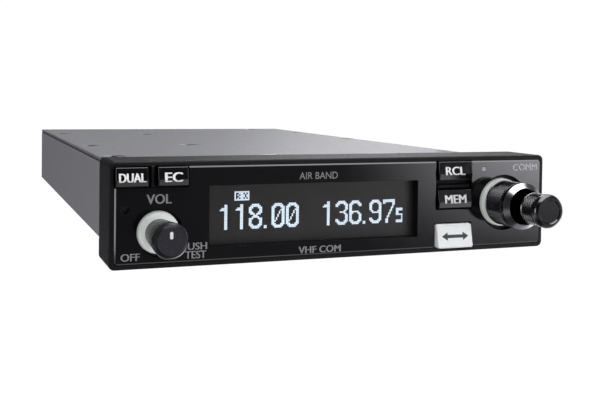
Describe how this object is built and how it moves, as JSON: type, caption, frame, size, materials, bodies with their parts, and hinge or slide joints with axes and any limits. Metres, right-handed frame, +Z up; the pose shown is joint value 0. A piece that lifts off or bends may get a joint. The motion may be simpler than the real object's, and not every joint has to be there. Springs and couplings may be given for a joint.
{
  "type": "panel-mounted aircraft radio",
  "caption": "Panel-mounted aircraft VHF radio: wide black bezel with keys, lit display, volume and dual tuning knobs, and a shallow grey sheet-metal chassis behind.",
  "frame": {"origin": "centre of the bezel's rear plane, which seats on the instrument panel", "axes": "+X to the pilot's right, +Y back into the aircraft along the depth, +Z up"},
  "size_m": [0.16, 0.271, 0.034],
  "materials": {
    "bezel": "fine-textured black moulded plastic",
    "faceplate": "polished black acrylic with grey print",
    "window_glass": "clear tinted pane",
    "display": "dark display with bluish white characters",
    "light_guide": "milky light guide",
    "light_ring": "pale cream translucent ring",
    "key_dark": "satin black moulded cap with white print",
    "key_light": "satin white moulded cap with a dark arrow",
    "knob": "satin black moulded plastic",
    "pointer": "white inlay",
    "tuning_knob": "black anodised, knurled",
    "plated_steel": "nickel plated",
    "control_body": "stamped metal case",
    "circuit_board": "green solder mask",
    "brass_post": "turned",
    "tinned_can": "tinned sheet",
    "component_black": "moulded black plastic",
    "flex_film": "amber film",
    "chassis": "fine satin grey paint on folded sheet",
    "cover": "fine satin grey paint on folded sheet",
    "black_screw": "black finished steel",
    "heat_sink": "black anodised extrusion",
    "connector_metal": "nickel plated",
    "dielectric": "white low-loss plastic",
    "gold_contact": "gold plated"
  },
  "bodies": {
    "root": {"bezel_housing": "bezel", "faceplate": "faceplate", "display_window": "window_glass", "display_module": "display", "light_pipe": "light_guide", "light_sensor": "component_black", "volume_light_ring": "light_ring", "tuning_light_ring": "light_ring", "panel_leds": "light_guide", "key_switches": "component_black", "volume_potentiometer": "control_body", "volume_nut": "plated_steel", "tuning_encoder": "control_body", "tuning_nut": "plated_steel", "front_board": "circuit_board", "front_board_screws": "plated_steel", "main_board": "circuit_board", "board_standoffs": "brass_post", "board_screws": "plated_steel", "rf_shield_can": "tinned_can", "power_amp_module": "component_black", "capacitors": "component_black", "filter_cans": "tinned_can", "flex_connectors": "component_black", "flex_cable": "flex_film", "chassis_base": "chassis", "top_cover": "cover", "cover_screws": "black_screw", "cover_pillars": "brass_post", "bezel_screws": "plated_steel", "lock_bracket": "plated_steel", "rear_plate": "chassis", "rear_plate_screws": "black_screw", "heat_sink": "heat_sink", "heat_sink_screws": "plated_steel", "connector_shell": "connector_metal", "connector_insulator": "component_black", "jack_sockets": "connector_metal", "antenna_connector": "connector_metal", "antenna_nut": "connector_metal", "antenna_dielectric": "dielectric", "antenna_contact": "gold_contact"},
    "lock": {"lock_rod": "plated_steel", "lock_pawl": "plated_steel"},
    "volume_push": {"volume_plunger": "plated_steel"},
    "volume_control": {"volume_shaft": "plated_steel", "volume_knob": "knob", "volume_pointer": "pointer"},
    "tuning_outer": {"tuning_outer_shaft": "plated_steel", "tuning_outer_knob": "tuning_knob"},
    "tuning_push": {"tuning_plunger": "plated_steel"},
    "tuning_inner": {"tuning_inner_shaft": "plated_steel", "tuning_inner_knob": "tuning_knob"},
    "dual_key": {"dual_key": "key_dark"},
    "clear_key": {"clear_key": "key_dark"},
    "recall_key": {"recall_key": "key_dark"},
    "memory_key": {"memory_key": "key_dark"},
    "swap_key": {"swap_key": "key_light"}
  },
  "joints": [
    {"name": "lock_turn", "type": "hinge", "parent": "root", "child": "lock", "pos_m": [-0.075, 0, 0.0018], "axis": [0, 1, 0], "range_deg": [0, 90]},
    {"name": "volume_press", "type": "slide", "parent": "root", "child": "volume_push", "axis": [0, 1, 0], "range_m": [0, 0.0007], "stiffness_N_per_m": 700},
    {"name": "volume_turn", "type": "hinge", "parent": "volume_push", "child": "volume_control", "pos_m": [-0.0642, 0, -0.0057], "axis": [0, 1, 0], "range_deg": [-135, 135]},
    {"name": "tuning_outer_turn", "type": "hinge", "parent": "root", "child": "tuning_outer", "pos_m": [0.06245, 0, 0], "axis": [0, 1, 0], "continuous": true},
    {"name": "tuning_press", "type": "slide", "parent": "root", "child": "tuning_push", "axis": [0, 1, 0], "range_m": [0, 0.0007], "stiffness_N_per_m": 700},
    {"name": "tuning_inner_turn", "type": "hinge", "parent": "tuning_push", "child": "tuning_inner", "pos_m": [0.06245, 0, 0], "axis": [0, 1, 0], "continuous": true},
    {"name": "dual_press", "type": "slide", "parent": "root", "child": "dual_key", "axis": [0, 1, 0], "range_m": [0, 0.0008], "stiffness_N_per_m": 500},
    {"name": "clear_press", "type": "slide", "parent": "root", "child": "clear_key", "axis": [0, 1, 0], "range_m": [0, 0.0008], "stiffness_N_per_m": 500},
    {"name": "recall_press", "type": "slide", "parent": "root", "child": "recall_key", "axis": [0, 1, 0], "range_m": [0, 0.0008], "stiffness_N_per_m": 500},
    {"name": "memory_press", "type": "slide", "parent": "root", "child": "memory_key", "axis": [0, 1, 0], "range_m": [0, 0.0008], "stiffness_N_per_m": 500},
    {"name": "swap_press", "type": "slide", "parent": "root", "child": "swap_key", "axis": [0, 1, 0], "range_m": [0, 0.0008], "stiffness_N_per_m": 500}
  ]
}
